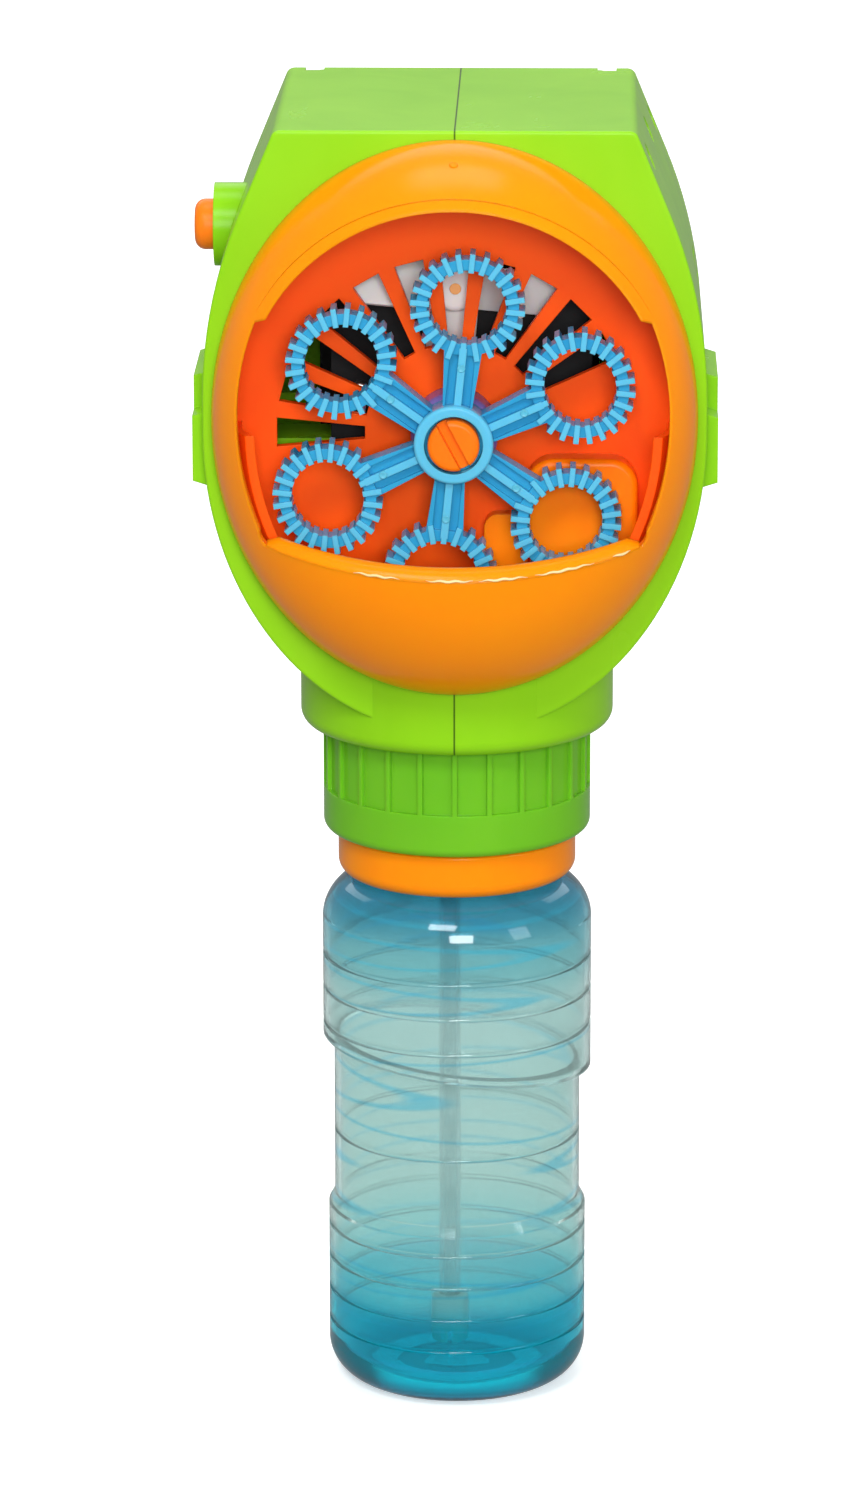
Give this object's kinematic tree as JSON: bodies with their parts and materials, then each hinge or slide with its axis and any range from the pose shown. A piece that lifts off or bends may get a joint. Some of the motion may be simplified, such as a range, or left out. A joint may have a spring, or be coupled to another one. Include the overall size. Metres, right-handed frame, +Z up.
{
  "type": "bubble machine",
  "caption": "Hand-held battery bubble machine with a six-ring wand wheel behind a domed orange bezel, a fan, a hose pump and a screw-on bottle it stands on.",
  "frame": {"origin": "centre of the bottle's base, on the surface it stands on", "axes": "+Z up along the bottle's axis, the wand wheel faces -Y, +X is to the right seen from the front"},
  "size_m": [0.0925, 0.0976, 0.2348],
  "materials": {
    "shell_green": "moulded gloss",
    "bezel_orange": "moulded gloss",
    "tray_orange": "moulded satin",
    "wheel_blue": "moulded gloss",
    "spacer_violet": "moulded gloss",
    "axle_orange": "moulded gloss",
    "collar_green": "moulded, slightly translucent",
    "adapter_orange": "moulded gloss",
    "bottle_blue": "clear blue, blown",
    "button_orange": "moulded gloss",
    "seal_grey": "matte",
    "tube_clear": "clear flexible",
    "filter_white": "satin",
    "gear_white": "satin acetal",
    "fan_white": "moulded gloss",
    "gearbox_black": "satin",
    "black_plastic": "satin",
    "steel": "plated",
    "can_steel": "drawn, plated",
    "magnet_dark": "sintered ferrite",
    "copper": "enamelled winding",
    "contact_nickel": "nickel plated",
    "box_black": "satin",
    "wire_red": "PVC",
    "wire_black": "PVC"
  },
  "bodies": {
    "head": {"housing_left": "shell_green", "housing_right": "shell_green", "front_bezel": "bezel_orange", "drip_tray": "tray_orange", "air_grille": "tray_orange", "feed_block": "bezel_orange", "bottle_socket": "filter_white", "socket_seal": "seal_grey", "dip_tube": "tube_clear", "intake_filter": "filter_white", "gearbox_front": "gearbox_black", "gearbox_rear": "gearbox_black", "gear_pins": "steel", "gearbox_screws": "steel", "motor_can": "can_steel", "motor_end_cap": "filter_white", "motor_magnets": "magnet_dark", "motor_screws": "steel", "pump_cover": "gearbox_black", "feed_hose": "tube_clear", "drain_hose": "tube_clear", "housing_screws": "steel", "battery_box": "box_black", "contact_plates": "contact_nickel", "cell_springs": "contact_nickel", "power_switch": "black_plastic", "button_spring": "steel", "wire_battery_switch": "wire_red", "wire_switch_motor": "wire_red", "wire_battery_motor": "wire_black"},
    "wheel": {"wand_wheel": "wheel_blue", "wheel_spacer": "spacer_violet", "wand_axle": "axle_orange", "output_gear": "gear_white"},
    "first_idler": {"first_gear": "gear_white"},
    "second_idler": {"second_gear": "gear_white"},
    "rotor": {"motor_armature": "copper", "motor_pinion": "gear_white", "fan": "fan_white"},
    "pump": {"pump_rotor": "gear_white", "pump_gear": "gear_white"},
    "roller_1": {"pump_roller_1": "gear_white"},
    "roller_2": {"pump_roller_2": "gear_white"},
    "roller_3": {"pump_roller_3": "gear_white"},
    "button": {"power_button": "button_orange"},
    "door": {"battery_door": "shell_green", "door_screw": "steel"},
    "collar": {"collar": "collar_green"},
    "bottle": {"bottle": "bottle_blue", "adapter_ring": "adapter_orange", "neck_seal": "seal_grey"}
  },
  "joints": [
    {"name": "motor_spin", "type": "hinge", "parent": "head", "child": "rotor", "pos_m": [0, 0, 0.2058], "axis": [0, 1, 0], "continuous": true},
    {"name": "first_gear_spin", "type": "hinge", "parent": "head", "child": "first_idler", "pos_m": [0.0111, 0, 0.20005], "axis": [0, 1, 0], "continuous": true},
    {"name": "second_gear_spin", "type": "hinge", "parent": "head", "child": "second_idler", "pos_m": [0.0111, 0, 0.18755], "axis": [0, 1, 0], "continuous": true},
    {"name": "wheel_spin", "type": "hinge", "parent": "head", "child": "wheel", "pos_m": [0, 0, 0.1818], "axis": [0, 1, 0], "continuous": true},
    {"name": "pump_spin", "type": "hinge", "parent": "head", "child": "pump", "pos_m": [-0.01, 0, 0.16448], "axis": [0, 1, 0], "continuous": true},
    {"name": "roller_1_spin", "type": "hinge", "parent": "pump", "child": "roller_1", "pos_m": [-0.00515, 0, 0.16448], "axis": [0, 1, 0], "continuous": true},
    {"name": "roller_2_spin", "type": "hinge", "parent": "pump", "child": "roller_2", "pos_m": [-0.01243, 0, 0.16868], "axis": [0, 1, 0], "continuous": true},
    {"name": "roller_3_spin", "type": "hinge", "parent": "pump", "child": "roller_3", "pos_m": [-0.01243, 0, 0.16028], "axis": [0, 1, 0], "continuous": true},
    {"name": "button_press", "type": "slide", "parent": "head", "child": "button", "axis": [1, 0, 0], "range_m": [0, 0.002], "stiffness_N_per_m": 300, "springref_m": -0.002, "deforming": ["button_spring"]},
    {"name": "door_swing", "type": "hinge", "parent": "head", "child": "door", "pos_m": [0, 0.0451, 0.2334], "axis": [1, 0, 0], "range_deg": [0, 80]},
    {"name": "collar_turn", "type": "hinge", "parent": "head", "child": "collar", "pos_m": [0, 0, 0.114], "axis": [0, 0, 1], "range_deg": [0, 540]},
    {"name": "bottle_lower", "type": "slide", "parent": "head", "child": "bottle", "axis": [0, 0, -1], "range_m": [0, 0.00451]}
  ],
  "couplings": [
    {"joint": "first_gear_spin", "follows": "motor_spin", "ratio": -0.25},
    {"joint": "second_gear_spin", "follows": "motor_spin", "ratio": 0.0625},
    {"joint": "wheel_spin", "follows": "motor_spin", "ratio": -0.015625},
    {"joint": "pump_spin", "follows": "motor_spin", "ratio": 0.015625},
    {"joint": "roller_1_spin", "follows": "motor_spin", "ratio": -0.053516},
    {"joint": "roller_2_spin", "follows": "motor_spin", "ratio": -0.053516},
    {"joint": "roller_3_spin", "follows": "motor_spin", "ratio": -0.053516},
    {"joint": "bottle_lower", "follows": "collar_turn", "m_per_rad": 0.00047746}
  ]
}
